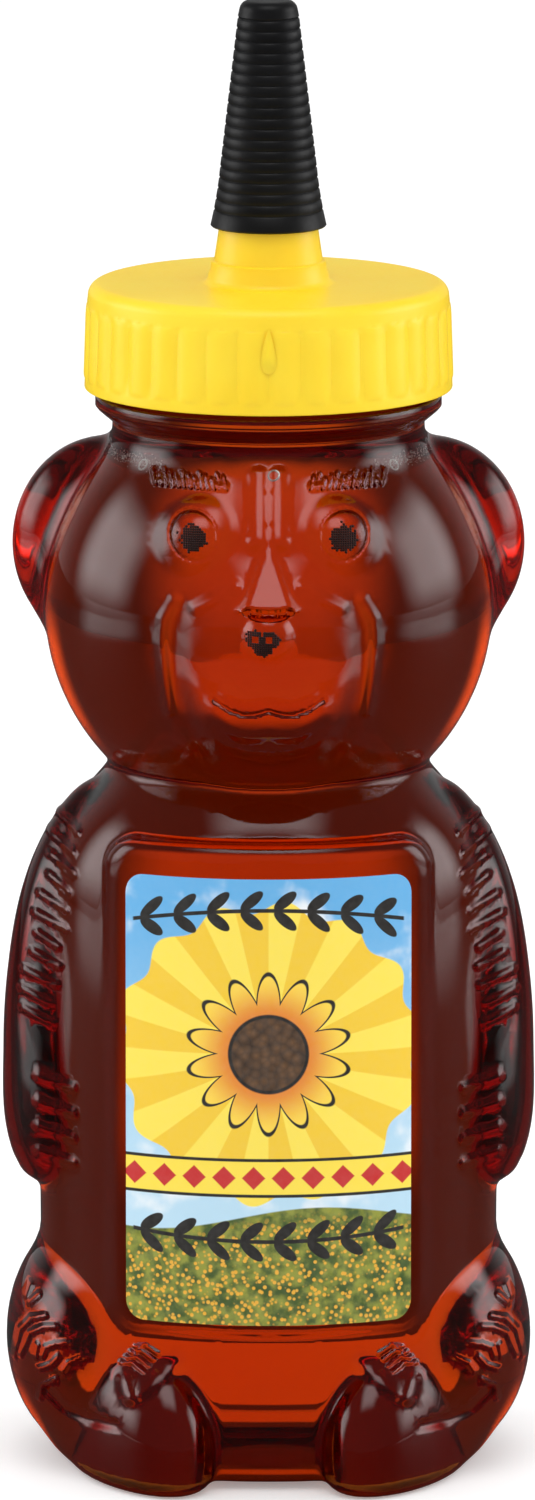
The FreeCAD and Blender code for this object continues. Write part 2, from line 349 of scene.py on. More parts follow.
def panel_field(x, y, z):
    mid_z, half_h = (PANEL_LOW_Z + PANEL_TOP_Z) / 2, (PANEL_TOP_Z - PANEL_LOW_Z) / 2
    qx = np.abs(x) - PANEL_HALF_W + PANEL_CORNER_R
    qz = np.abs(z - mid_z) - half_h + PANEL_CORNER_R
    plate = np.sqrt(np.maximum(qx, 0) ** 2 + np.maximum(qz, 0) ** 2) + np.minimum(np.maximum(qx, qz), 0)
    bow_y = PANEL_BOW_R - TORSO_HALF_D - PANEL_RISE
    face = np.sqrt(x * x + (y - bow_y) ** 2) - PANEL_BOW_R
    return np.maximum(soft_max(plate - PANEL_CORNER_R, face, 1.8), y)


def body_field(x, y, z):
    """The bear without its neck and fine details."""
    x = np.abs(x)
    d = torso_field(x, y, z)
    d = soft_min(d, panel_field(x, y, z), 0.5)
    d = soft_min(d, arm_field(x, y, z), 1.4)
    d = soft_min(d, leg_field(x, y, z), 1.4)
    head = ball(x, y, z, (0, 0, HEAD_Z), HEAD_R)
    head = soft_min(head, egg(x, y, z, EAR), 2.0)
    head = soft_min(head, egg(x, y, z, MUZZLE), 2.2)
    return soft_min(d, head, 1.2)


def floor_cut(d, x, y, z, floor, inset):
    """Cuts the standing face and the hollow under the floor."""
    dome_r = (PUSH_UP_R ** 2 + PUSH_UP_H ** 2) / (2 * PUSH_UP_H)
    dome = ball(x, y, z, (0, 0, PUSH_UP_H - dome_r), dome_r + inset)
    return soft_max(soft_max(d, floor - z, 1.6), -dome, 0.6)


def on_head(x, z, sink):
    """Point below the skin of the head's front at that x and z."""
    y = -math.sqrt(HEAD_R ** 2 - x * x - (z - HEAD_Z) ** 2)
    share = 1 - sink / HEAD_R
    return x * share, y * share, HEAD_Z + (z - HEAD_Z) * share


def bridge_field(x, y, z):
    """Flat facet that widens from the brow down to the nose, with a slope on each side."""
    (top_y, top_z), (end_y, end_z) = BRIDGE_TOP, BRIDGE_END
    length = math.hypot(end_y - top_y, end_z - top_z)
    facet = ((y - top_y) * (end_z - top_z) + (z - top_z) * (top_y - end_y)) / length
    half_w = BRIDGE_HALF_W * np.clip((top_z - z) / (top_z - end_z), 0, 1.2)
    slope = (x - half_w) * 0.75 + facet * 0.66
    wedge = soft_max(soft_max(facet, slope, 0.4), end_z - z, 0.4)
    return np.maximum(np.maximum(wedge, -facet - BRIDGE_DEEP), z - top_z - 1)


def face_field(d, x, y, z):
    """Eyes on their mounds, the two columns of the brow, top of the muzzle, bridge and nose."""
    x = np.abs(x)
    d = soft_min(d, egg(x, y, z, MUZZLE_TOP), 1.8)
    d = soft_min(d, ball(x, y, z, on_head(EYE_X, EYE_Z, MOUND_SINK), MOUND_R), 0.3)
    d = soft_min(d, ball(x, y, z, on_head(EYE_X, EYE_Z, EYE_SINK), EYE_R), 0.15)
    column = rod(x, y, z, on_head(1.05, HEAD_Z + 10.8, 0.85), on_head(1.05, HEAD_Z + 17.4, 0.8), 1.55, 1.5)
    d = soft_min(d, column, 0.6)
    d = soft_min(d, bridge_field(x, y, z), 0.4)
    return soft_min(d, ball(x, y, z, NOSE, NOSE_R), 0.3)


def skin_field(x, y, z):
    """Outside of the moulded bear, with the stump of its neck."""
    d = floor_cut(body_field(x, y, z), x, y, z, 0, 0)
    neck = np.maximum(np.sqrt(x * x + y * y) - NECK_R, HEAD_Z + 9.7 - z)
    return face_field(soft_min(d, neck, 1.6), x, y, z)


def hollow_field(x, y, z):
    """Inside of the wall, with the bore of the neck."""
    d = floor_cut(body_field(x, y, z) + WALL, x, y, z, BASE_WALL, WALL)
    bore = np.maximum(np.sqrt(x * x + y * y) - BORE_R, HEAD_Z - z)
    return soft_min(d, bore, 1.2)


def honey_field(x, y, z):
    """Honey, which reaches a little into the wall so that no film of air shows between them."""
    return np.maximum(hollow_field(x, y, z) - HONEY_INTO_WALL, z - FILL_Z)


# Moulded strokes, drawn as seen from the front in (x, z) on the right side and mirrored
# Each is a line of points, its half width and its height; a height below zero is a groove

STROKES = []


def draw(points, half_w, height):
    for start, end in zip(points, points[1:]):
        STROKES.append((start, end, half_w, height))


# Fur on the arms: a stack of short thick locks that lean outwards on the way down
for i in range(11):
    share = i / 10
    z = 72.5 - 2.1 * i
    inner_x = 21.4 + 3.0 * share + 0.3 * math.sin(2.3 * i)
    outer_x = 23.5 + 4.2 * share + 0.4 * math.sin(1.7 * i)
    middle_x = (inner_x + outer_x) / 2
    draw([(inner_x, z - 0.4), (middle_x, z + 0.15), (outer_x, z + 0.7)], 0.4, 0.26)
# Fingers on the paws
for i in range(4):
    z = 44.6 - 2.85 * i
    draw([(21.8, z - 0.5), (23.6, z), (25.6, z + 0.4)], 0.5, 0.3)
# Fur on the thighs, long sweeping locks
THIGH_LOCKS = (
    ((27.1, 19.5), (26.6, 20.8)),
    ((26.7, 19.1), (25.6, 20.2)),
    ((28.5, 12.4), (27.8, 15.8), (26.5, 17.6), (24.9, 18.3)),
    ((27.8, 13.0), (26.7, 16.0), (25.1, 17.1), (23.8, 17.4)),
    ((25.3, 13.8), (24.9, 14.9), (23.8, 15.5), (22.4, 15.8)),
    ((22.9, 12.6), (22.3, 13.6), (20.8, 14.4)),
    ((26.0, 13.6), (25.8, 14.9)),
    ((25.6, 12.3), (24.3, 13.1), (23.5, 14.1)),
    ((25.6, 8.6), (25.2, 10.3), (23.8, 11.4)),
)
for lock in THIGH_LOCKS:
    draw(lock, 0.3, 0.22)
# Claws, the pad under them and the edge of the sole
for i in range(4):
    x, z = 14.8 + 0.5 * i, 16.0 - 0.63 * i
    draw([(x, z), (x - 1.1, z + 0.3), (x - 2.5, z - 0.5)], 0.26, 0.3)
draw([(15.9, 12.5), (15.5, 11.3)], 0.9, 0.5)
draw([(14.4, 11.7), (12.3, 13.4), (10.3, 14.5)], 0.8, 0.4)
# Crease between shin and thigh
draw([(24.7, 9.9), (22.7, 8.0), (20.1, 7.3), (17.0, 7.6)], 0.5, -0.3)
# Mouth, two bows that meet under the nose, between full lips
draw([(0.0, 89.0), (1.3, 88.6), (2.7, 88.4), (4.2, 88.9), (6.0, 90.0)], 0.2, -0.25)
draw([(0.0, 87.0), (1.4, 86.65), (2.8, 86.6), (4.3, 87.4), (5.8, 88.9)], 1.0, 0.42)
draw([(0.9, 90.4), (2.6, 90.0), (4.4, 90.6)], 0.8, 0.3)
# Slot between bridge and nose
draw([(0.0, 99.7), (2.2, 100.0)], 0.4, -0.7)
# Line round each eyeball
turns = [0.3 * i for i in range(22)]
eye_line = [(EYE_X + EYE_RING_R * math.cos(t), EYE_Z + EYE_RING_R * math.sin(t)) for t in turns]
draw(eye_line, 0.15, -0.18)
# Ridge below the hollow under each eye
draw([(3.6, 102.6), (6.3, 100.9), (8.2, 99.8)], 0.5, 0.25)
# Valley on each side of the brow's columns
draw([(4.0, 113.0), (4.0, 110.0), (4.2, 107.0)], 1.2, -0.16)
# Edge of the muzzle: a fold on the cheek and the valley beside it
cheek_fold = [(10.4, 100.4), (11.6, 98.2), (11.8, 95.7), (11.5, 92.0), (11.0, 88.0)]
draw(cheek_fold, 0.55, 0.4)
muzzle_valley = [(9.9, 99.4), (10.5, 97.0), (10.4, 94.5), (9.8, 90.8), (8.6, 86.5), (6.7, 82.8)]
draw(muzzle_valley, 1.0, -0.34)
# Brows, a low ridge with fine upright hairs
draw([(4.8, 112.5), (8.5, 112.9), (12.4, 112.7)], 0.4, 0.25)
for i in range(13):
    x = 4.7 + 0.65 * i
    draw([(x, 112.3), (x + 0.3, 113.5 + 0.3 * math.sin(2.1 * i))], 0.2, 0.36)


def stroke_gap(x, z):
    """Distance to the nearest stroke's edge and the summed height of the strokes, seen from the front."""
    x = np.abs(x)
    gap = np.full(x.shape, 9.0)
    up = np.zeros(x.shape)
    down = np.zeros(x.shape)
    for (ax, az), (bx, bz), half_w, height in STROKES:
        dx, dz = bx - ax, bz - az
        t = np.clip(((x - ax) * dx + (z - az) * dz) / (dx * dx + dz * dz), 0, 1)
        d = np.hypot(x - ax - t * dx, z - az - t * dz)
        gap = np.minimum(gap, d - half_w)
        s = np.clip(1 - d / (2 * half_w), 0, 1)
        bump = height * s * s * (3 - 2 * s)
        up = np.maximum(up, bump)
        down = np.minimum(down, bump)
    return gap, up + down


def detailed_field(x, y, z):
    front = np.clip(-y / 2, 0, 1)
    return skin_field(x, y, z) - stroke_gap(x, z)[1] * front


# Meshes from fields

def field_mesh(field, voxel, low, high, reach):
    """Mesh of a field's zero surface between two corners, settled onto it."""
    count = np.ceil((np.array(high) - np.array(low)) / voxel).astype(int) + 1
    half = int(math.ceil(high[0] / voxel))
    xs = np.arange(0, half + 1) * voxel
    ys = low[1] + np.arange(count[1]) * voxel
    zs = low[2] + np.arange(count[2]) * voxel
    band = 3 * voxel
    values = np.clip(field(*np.meshgrid(xs, ys, zs, indexing="ij")), -band, band).astype(np.float32)
    grid = openvdb.FloatGrid(band)
    grid.copyFromArray(np.concatenate([values[:0:-1], values]))
    points, tris, quads = grid.convertToPolygons(isovalue=0.0, adaptivity=0.0)
    points = points.astype(float) * voxel + np.array([-half * voxel, low[1], low[2]])
    bm = bmesh.new()
    verts = [bm.verts.new(p) for p in settle(field, points, 3, reach)]
    for f in tris.tolist() + quads.tolist():
        bm.faces.new([verts[i] for i in f])
    bm.verts.index_update()
    bm.faces.index_update()
    bm.normal_update()
    return bm


def gradient(field, p, step=0.02):
    shifts = step * np.eye(3)
    return np.stack([field(*(p + s).T) - field(*(p - s).T) for s in shifts], 1) / (2 * step)


def settle(field, p, rounds, reach):
    """Moves points onto the field's zero surface."""
    for _ in range(rounds):
        g = gradient(field, p)
        size = np.maximum((g * g).sum(1), 0.05)
        move = -(field(*p.T) / size)[:, None] * g
        far = np.linalg.norm(move, axis=1, keepdims=True)
        p = p + move * np.minimum(1, reach / np.maximum(far, 1e-9))
    return p


def outward(field, p):
    g = gradient(field, p)
    return g / np.maximum(np.linalg.norm(g, axis=1, keepdims=True), 1e-9)


def places(bm):
    return np.array([v.co for v in bm.verts], float).reshape(-1, 3)


def place_all(bm, p):
    for v, co in zip(bm.verts, p):
        v.co = co


def refine(bm, field, picked):
    """Splits the edges of the picked faces, once, and settles the points."""
    edges = {e for f in bm.faces if picked[f.index] for e in f.edges}
    bmesh.ops.subdivide_edges(bm, edges=list(edges), cuts=1, use_grid_fill=True)
    bmesh.ops.triangulate(bm, faces=[f for f in bm.faces if len(f.verts) > 4])
    bm.verts.index_update()
    bm.faces.index_update()
    place_all(bm, settle(field, places(bm), 2, 0.4))


def sharp_faces(bm, field, degrees):
    """Which faces have corners whose normals differ by more than that."""
    n = outward(field, places(bm))
    limit = math.cos(math.radians(degrees))

    def least(f):
        return min(float(n[a.index] @ n[b.index]) for a in f.verts for b in f.verts)
    return [least(f) < limit for f in bm.faces]


def stroke_faces(bm, margin):
    """Which faces of the front lie on strokes or that near."""
    mid = np.array([f.calc_center_median() for f in bm.faces], float)
    gap = stroke_gap(mid[:, 0], mid[:, 2])[0]
    front = np.array([f.normal.y for f in bm.faces]) < 0.25
    return (gap < margin) & front & (mid[:, 1] < 0)


def face_out(bm):
    bmesh.ops.recalc_face_normals(bm, faces=bm.faces[:])


def by_angle(v):
    return math.atan2(v.co.y, v.co.x)


def ring_edge(bm, z):
    """Points of the open round edge at height z, in order of angle."""
    rim = [v for v in bm.verts if v.is_boundary and abs(v.co.z - z) < 1e-3]
    return sorted(rim, key=by_angle)


def cut_neck(bm):
    bmesh.ops.bisect_plane(bm, geom=bm.verts[:] + bm.edges[:] + bm.faces[:], plane_co=(0, 0, NECK_CUT_Z),
                           plane_no=(0, 0, 1), clear_outer=True)
    bmesh.ops.remove_doubles(bm, verts=ring_edge(bm, NECK_CUT_Z), dist=0.25)
    return ring_edge(bm, NECK_CUT_Z)


def ring_wall(bm, low, high):
    """Quads between two rings of equal count."""
    for i in range(len(low)):
        j = (i + 1) % len(low)
        bm.faces.new([low[i], high[i], high[j], low[j]])


def ring_at(bm, angles, r, z, shape):
    """Ring of vertices about Z; shape(angle, r, z), where there is one, gives the radius."""
    ring = []
    for a in angles:
        out = shape(a, r, z) if shape else r
        ring.append(bm.verts.new((out * math.cos(a), out * math.sin(a), z)))
    return ring


def turn_up(bm, ring, rows, shape=None):
    """Carries a ring of vertices up through (radius, height) rows and returns the last ring."""
    angles = [by_angle(v) for v in ring]
    for r, z in rows:
        level = ring_at(bm, angles, r, z, shape)
        ring_wall(bm, ring, level)
        ring = level
    return ring


def zip_rings(bm, outer, inner):
    """Fills between two rings of different counts with triangles."""
    def angle(ring, i):
        v = ring[i % len(ring)].co
        return math.atan2(v.y, v.x) + 2 * math.pi * (i // len(ring))
    i = j = 0
    while i < len(outer) or j < len(inner):
        if j >= len(inner) or (i < len(outer) and angle(outer, i + 1) <= angle(inner, j + 1)):
            bm.faces.new([outer[i % len(outer)], outer[(i + 1) % len(outer)], inner[j % len(inner)]])
            i += 1
        else:
            bm.faces.new([outer[i % len(outer)], inner[(j + 1) % len(inner)], inner[j % len(inner)]])
            j += 1


def thread_shape(sign, half_w, out, offset):
    """Radius with a screw thread on it; sign -1 stands inwards."""
    def shape(a, r, z):
        best = 0.0
        for turn in range(3):
            t = (a % (2 * math.pi)) / (2 * math.pi) + turn
            if t > THREAD_TURNS:
                continue
            fade = min(1, t / 0.08, (THREAD_TURNS - t) / 0.08)
            gap = abs(z - THREAD_LOW_Z - offset - THREAD_PITCH * t) / half_w
            best = max(best, max(0, fade) * out * min(1, max(0, (1 - gap) * 1.8)))
        return r + sign * best
    return shape


def add_object(name, data):
    obj = bpy.data.objects.new(name, data)
    scene.collection.objects.link(obj)
    return obj


def mesh_object(name, bm, smooth_field=None, auto_smooth=None):
    """Makes an object in metres from a bmesh in millimetres."""
    mesh = bpy.data.meshes.new(name)
    bm.to_mesh(mesh)
    bm.free()
    p = np.zeros(len(mesh.vertices) * 3)
    mesh.vertices.foreach_get("co", p)
    mesh.vertices.foreach_set("co", p * MM)
    mesh.polygons.foreach_set("use_smooth", [True] * len(mesh.polygons))
    if smooth_field is not None:
        mesh.normals_split_custom_set_from_vertices(smooth_field(p.reshape(-1, 3)).tolist())
    elif auto_smooth:
        mesh.set_sharp_from_angle(angle=math.radians(auto_smooth))
    mesh.update()
    return add_object(name, mesh)


# Bottle shell: moulded bear outside, smooth hollow inside, turned neck between them

def make_shell():
    skin = field_mesh(skin_field, SKIN_VOXEL, *SKIN_BOX, 0.6)
    refine(skin, skin_field, sharp_faces(skin, skin_field, 16))
    for margin in (0.7, 0.35):
        refine(skin, detailed_field, stroke_faces(skin, margin))
    outer_rim = cut_neck(skin)
    place_all(skin, settle(detailed_field, places(skin), 2, 0.3))
    for v in outer_rim:
        v.co.z = NECK_CUT_Z
    face_out(skin)
    hollow = field_mesh(hollow_field, HOLLOW_VOXEL, *HOLLOW_BOX, 0.8)
    cut_neck(hollow)
    face_out(hollow)
    bmesh.ops.reverse_faces(hollow, faces=hollow.faces[:])
    for f in hollow.faces:
        f.material_index = 1
    part = bpy.data.meshes.new("hollow")
    hollow.to_mesh(part)
    hollow.free()
    skin.from_mesh(part)
    bpy.data.meshes.remove(part)
    rims = [v for v in skin.verts if v.is_boundary]
    middle_r = (NECK_R + BORE_R) / 2
    outer = sorted([v for v in rims if v.co.xy.length > middle_r], key=by_angle)
    inner = sorted([v for v in rims if v.co.xy.length <= middle_r], key=by_angle)
    edge = 0.25
    rows = [(NECK_R, 117.2), (NECK_R + 0.3, 117.35), (BEAD_R - 0.3, 118.45), (BEAD_R, 118.8),
            (BEAD_R, BEAD_TOP_Z - edge), (BEAD_R - edge, BEAD_TOP_Z), (NECK_R + edge, BEAD_TOP_Z),
            (NECK_R, BEAD_TOP_Z + edge)]
    rows += [(NECK_R, BEAD_TOP_Z + edge + 0.25 * i) for i in range(1, 35)]
    rows += [(NECK_R, RIM_Z - 0.5), (NECK_R - 0.15, RIM_Z - 0.15), (NECK_R - 0.5, RIM_Z)]
    outer = turn_up(skin, outer, rows, thread_shape(1, 1.05, THREAD_OUT, 0))
    bore = [(BORE_R, NECK_CUT_Z + (RIM_Z - edge - NECK_CUT_Z) * i / 10) for i in range(1, 11)]
    inner = turn_up(skin, inner, bore + [(BORE_R + edge, RIM_Z)])
    zip_rings(skin, outer, inner)
    face_out(skin)
    for f in skin.faces:
        mid = f.calc_center_median()
        if mid.z > NECK_CUT_Z:
            f.material_index = 1 if mid.z < FILL_Z and mid.xy.length < middle_r else 0

    def normals(p):
        n = np.zeros_like(p)
        outside = np.abs(detailed_field(*p.T)) < np.abs(hollow_field(*p.T))
        low = p[:, 2] < NECK_CUT_Z - 0.3
        n[outside & low] = outward(detailed_field, p[outside & low])
        n[~outside & low] = -outward(hollow_field, p[~outside & low])
        return n
    return mesh_object("bear_shell", skin, normals)


# Honey, and the air trapped under the neck, drawn pale as painted highlight

def make_honey():
    bm = field_mesh(honey_field, HONEY_VOXEL, *HONEY_BOX, 0.8)
    face_out(bm)
    return mesh_object("honey_body", bm, lambda p: outward(honey_field, p))


def meet_skin(start, way):
    """Where lines from outside first meet the skin, and the way out of it there."""
    steps, share = 80, 0.8
    p = start
    for _ in range(steps):
        p = p + share * np.clip(skin_field(*p.T), -0.5, 2.0)[:, None] * way
    return p, outward(skin_field, p)


def in_wall(turn, z):
    """Points below the skin at turns from the front and heights, and the way out."""
    inwards = np.stack([-np.sin(turn), np.cos(turn), 0 * z], 1)
    start_r = 27.0
    p, n = meet_skin(np.stack([0 * z, 0 * z, z], 1) - start_r * inwards, inwards)
    return p - n * AIR_SINK, n


def make_bubbles():
    """Trapped air in the wall under the neck: three round bubbles, and fine foam at both sides; their pale
    colour is painted highlight.
    """
    bm = bmesh.new()
    steps, sides = 24, 8
    turns = np.radians(BUBBLE_TURNS)
    for p, n in zip(*in_wall(turns, np.full(len(turns), BUBBLE_Z))):
        turn = Vector((0, 0, 1)).rotation_difference(Vector(n)).to_matrix()
        loops = []
        for i in range(steps):
            a = 2 * math.pi * i / steps
            loop = []
            for j in range(sides):
                b = 2 * math.pi * j / sides
                r = BUBBLE_R + BUBBLE_RIM_R * math.cos(b)
                place = Vector((r * math.cos(a), r * math.sin(a), BUBBLE_RIM_R * math.sin(b)))
                loop.append(bm.verts.new(Vector(p) + turn @ place))
            loops.append(loop)
        for low, high in zip(loops, loops[1:] + loops[:1]):
            ring_wall(bm, low, high)
    rng = np.random.default_rng(7)
    for side in (-1, 1):
        turns = np.clip(rng.normal(FOAM_TURN, FOAM_TURN_SPREAD, FOAM_COUNT), *FOAM_TURN_RANGE)
        heights = FOAM_Z + rng.normal(0, FOAM_Z_SPREAD, FOAM_COUNT)
        spots = in_wall(np.radians(turns) * side, heights)[0]
        for p, r in zip(spots, FOAM_LEAST_R + FOAM_MORE_R * rng.random(FOAM_COUNT)):
            made = bmesh.ops.create_icosphere(bm, subdivisions=1, radius=r)
            bmesh.ops.translate(bm, verts=made["verts"], vec=p)
    face_out(bm)
    return mesh_object("honey_bubbles_painted_glint", bm)


# Stippled pupils and nose, rows of small raised grains; their near-black colour is painted shade for the
# dark look of the moulded texture

def grains(name, spots):
    bm = bmesh.new()
    x, z = np.array(spots).T
    start_y = np.full(len(x), -32.0)
    for p, n in zip(*meet_skin(np.stack([x, start_y, z], 1), np.array((0, 1, 0)))):
        made = bmesh.ops.create_icosphere(bm, subdivisions=1, radius=GRAIN_R)
        turn = Vector((0, 0, 1)).rotation_difference(Vector(n)).to_matrix()
        for v in made["verts"]:
            flat = Vector((v.co.x, v.co.y, v.co.z * GRAIN_FLAT_SHARE))
            v.co = turn @ flat + Vector(p)
    return mesh_object(name, bm)


def pupil_spots():
    rng = np.random.default_rng(3)
    spots = []
    for side in (-1, 1):
        for i in range(-7, 8):
            for j in range(-7, 8):
                x, z = GRAIN_PITCH * i, GRAIN_PITCH * j
                if math.hypot(x, z) < PUPIL_R + rng.normal(0, PUPIL_ROUGH):
                    spots.append((side * EYE_X + x, EYE_Z - PUPIL_DROP + z))
    return spots


def nose_spots():
    """Two lobes side by side over a third, with a hole in each of the two."""
    rng = np.random.default_rng(5)
    spots = []
    for i in range(-9, 10):
        for j in range(-8, 8):
            x, z = GRAIN_PITCH * i, GRAIN_PITCH * j
            lobes = min(math.hypot(abs(x) - 0.85, z - 0.2), math.hypot(x, z + 0.65))
            hole = math.hypot(abs(x) - 0.8, z - 0.25)
            if lobes < NOSE_LOBE_R + rng.normal(0, NOSE_ROUGH) and hole > NOSE_HOLE_R:
                spots.append((x + NOSE_MARK_X, NOSE[2] - NOSE_MARK_DROP + z))
    return spots


# Turned pieces

def lathe(bm, rows, columns, shape=None):
    """Closed section of (radius, height) rows, turned about Z."""
    angles = [2 * math.pi * i / columns for i in range(columns)]
    rings = [ring_at(bm, angles, r, z, shape) for r, z in rows]
    for low, high in zip(rings, rings[1:] + rings[:1]):
        ring_wall(bm, low, high)
    face_out(bm)


def arc(centre_r, centre_z, radius, start, end, steps):
    """Rows along a quarter or other arc in the section, angles in degrees."""
    turns = [math.radians(start + (end - start) * i / steps) for i in range(steps + 1)]
    return [(centre_r + radius * math.cos(t), centre_z + radius * math.sin(t)) for t in turns]


def make_cap():
    skirt = lambda z: CAP_R + (CAP_TOP_R - CAP_R) * (z - CAP_LOW_Z) / (DECK_Z - CAP_LOW_Z)
    foot_edge, step = 0.2, 0.12
    rows = arc(skirt(CAP_LOW_Z) - foot_edge, CAP_LOW_Z + foot_edge, foot_edge, -90, 0, 3)
    rows += [(skirt(z), z) for z in (RIB_LOW_Z - 0.25, RIB_LOW_Z)]
    span = RIB_TOP_Z - RIB_LOW_Z
    rows += [(skirt(RIB_LOW_Z + span * t), RIB_LOW_Z + span * t)
             for t in (0.02, 0.05, 0.1, 0.3, 0.5, 0.7, 0.85, 0.9, 0.93, 0.955, 0.975, 0.99, 1.0)]
    rows.append((skirt(RIB_TOP_Z + 0.4), RIB_TOP_Z + 0.4))
    rows += arc(skirt(DECK_Z) - CAP_EDGE_R, DECK_Z - CAP_EDGE_R, CAP_EDGE_R, 0, 90, 10)
    rows += [(r, DECK_Z) for r in (16.0, 13.0, 10.0, 8.6)]
    rows += arc(SPOUT_FOOT_R + SPOUT_FLARE + 0.3, DECK_Z + SPOUT_FLARE, SPOUT_FLARE, 270, 180, 7)
    rows += [(SPOUT_FOOT_R + 0.06, DECK_Z + 1.5), (SPOUT_FOOT_R, SPOUT_FOOT_Z - step)]
    rows += [(SPOUT_FOOT_R - step, SPOUT_FOOT_Z), (SPOUT_R, SPOUT_FOOT_Z + 0.05)]
    tall = SPOUT_END_Z - SPOUT_FOOT_Z
    rows += [(SPOUT_R + (SPOUT_TIP_R - SPOUT_R) * t, SPOUT_FOOT_Z + tall * t)
             for t in (0.05, 0.25, 0.5, 0.75, 0.97)]
    rows += arc(SPOUT_TIP_R - 0.35, SPOUT_END_Z - 0.35, 0.35, 5, 90, 4)
    rows += [(SPOUT_HOLE_R + 0.1, SPOUT_END_Z), (SPOUT_HOLE_R, SPOUT_END_Z - 0.1)]
    rows += [(SPOUT_HOLE_R, SPOUT_END_Z - SPOUT_HOLE_R)]
    inside_r = SPOUT_FOOT_R - SPOUT_WALL
    rows += [((SPOUT_HOLE_R + inside_r) / 2, (SPOUT_END_Z + DECK_Z - SPOUT_HOLE_R) / 2)]
    rows += [(inside_r, DECK_Z), (inside_r, UNDER_Z)]
    rows += [(r, UNDER_Z) for r in (9.0, 13.0, CAP_BORE_R - 0.3)]
    bore_rows = [(CAP_BORE_R, UNDER_Z - 0.3 - 0.25 * i) for i in range(39)]
    rows += [row for row in bore_rows if row[1] > CAP_LOW_Z + 0.3]
    rows += [(CAP_BORE_R, CAP_LOW_Z + 0.2), (CAP_BORE_R + 0.2, CAP_LOW_Z)]
    thread = thread_shape(-1, 0.85, THREAD_OUT - 0.1, THREAD_PITCH / 2)

    def shape(a, r, z):
        if abs(r - CAP_BORE_R) < 1e-6 and CAP_LOW_Z + 0.3 < z < UNDER_Z - 0.2:
            return thread(a, r, z)
        if r < CAP_BORE_R or not RIB_LOW_Z < z < RIB_TOP_Z:
            return r
        u = (a * RIB_COUNT / (2 * math.pi)) % 1
        lobe = 4 * u * (1 - u)
        up, down = (RIB_TOP_Z - z) / 1.0, (z - RIB_LOW_Z) / 0.5
        fade = math.sqrt(min(1, max(0, 1 - (1 - min(1, up)) ** 2))) * min(1, down)
        return r + fade * ((RIB_OUT + RIB_ROOT) * lobe - RIB_ROOT)

    bm = bmesh.new()
    lathe(bm, rows, RIB_COUNT * 8, shape)
    drop_mark(bm)
    return mesh_object("cap_body", bm, auto_smooth=35)


def drop_mark(bm):
    """Small glossy drop on the front of the skirt, where the mould was fed."""
    low_z, top_z, half_w, out = 125.4, 130.4, 0.8, 0.3
    rings, steps, turns = [], 7, 28
    tall = top_z - low_z
    for k in range(steps + 1):
        share = k / steps
        ring = []
        for i in range(turns):
            t = 2 * math.pi * i / turns
            width = half_w * (1 - 0.55 * math.sin(t)) * math.cos(t)
            z = low_z + tall * (0.42 + 0.5 * math.sin(t) * (1.16 if math.sin(t) > 0 else 0.84))
            x = width * (1 - share)
            z = z + (low_z + tall * 0.4 - z) * share
            r = CAP_R - 0.05 + out * share * share * (3 - 2 * share)
            ring.append(bm.verts.new((x, -math.sqrt(r * r - x * x), z)))
        rings.append(ring)
    for low, high in zip(rings, rings[1:]):
        ring_wall(bm, low, high)
    bmesh.ops.remove_doubles(bm, verts=rings[-1], dist=0.01)
    bm.faces.new(rings[0])


def make_cover():
    def outline(z):
        if z < COVER_WAIST_Z:
            t = (z - COVER_LOW_Z) / (COVER_WAIST_Z - COVER_LOW_Z)
            return COVER_LOW_R + (COVER_WAIST_R - COVER_LOW_R) * (1 - (1 - t) ** 1.25)
        t = (z - COVER_WAIST_Z) / (COVER_TOP_Z - COVER_WAIST_Z)
        return COVER_WAIST_R + (COVER_TOP_R - COVER_WAIST_R) * t
    edge = 0.15
    rows = [(COVER_LOW_R - edge, COVER_LOW_Z), (COVER_LOW_R, COVER_LOW_Z + edge)]
    pitch = (COVER_TOP_Z - COVER_LOW_Z - 2 * RING_MARGIN) / (RING_COUNT - 1)
    for i in range(RING_COUNT):
        z = COVER_LOW_Z + RING_MARGIN + i * pitch
        half = RING_GAP / 2
        rows += [(outline(z - half), z - half), (outline(z) - RING_STEP, z - half / 3)]
        rows += [(outline(z) - RING_STEP, z + half / 3), (outline(z + half), z + half)]
    top_r = COVER_TOP_R + 0.05
    rows += arc(top_r - COVER_EDGE_R, COVER_TOP_Z - COVER_EDGE_R, COVER_EDGE_R, 5, 90, 7)
    rows += [(1.0, COVER_TOP_Z), (0.05, COVER_TOP_Z)]
    hollow_z = COVER_TOP_Z - COVER_ROOF
    share = (COVER_LOW_Z - SPOUT_FOOT_Z) / (SPOUT_END_Z - SPOUT_FOOT_Z)
    low_r = SPOUT_R + (SPOUT_TIP_R - SPOUT_R) * share + COVER_FIT
    rows += [(0.05, hollow_z), (SPOUT_TIP_R + COVER_FIT, hollow_z), (SPOUT_TIP_R + COVER_FIT, SPOUT_END_Z)]
    rows += [(low_r, COVER_LOW_Z + edge), (low_r + edge, COVER_LOW_Z)]
    bm = bmesh.new()
    lathe(bm, rows, 96)
    return mesh_object("tip_cover_body", bm, auto_smooth=40)


def make_liner():
    e = 0.12
    low, top = RIM_Z, UNDER_Z
    rows = [(LINER_HOLE_R + e, low), (LINER_R - e, low), (LINER_R, low + e), (LINER_R, top - e),
            (LINER_R - e, top), (LINER_HOLE_R + e, top), (LINER_HOLE_R, top - e), (LINER_HOLE_R, low + e)]
    bm = bmesh.new()
    lathe(bm, rows, 96)
    return mesh_object("liner_body", bm, auto_smooth=40)


# Label, a thin bowed sheet with round corners

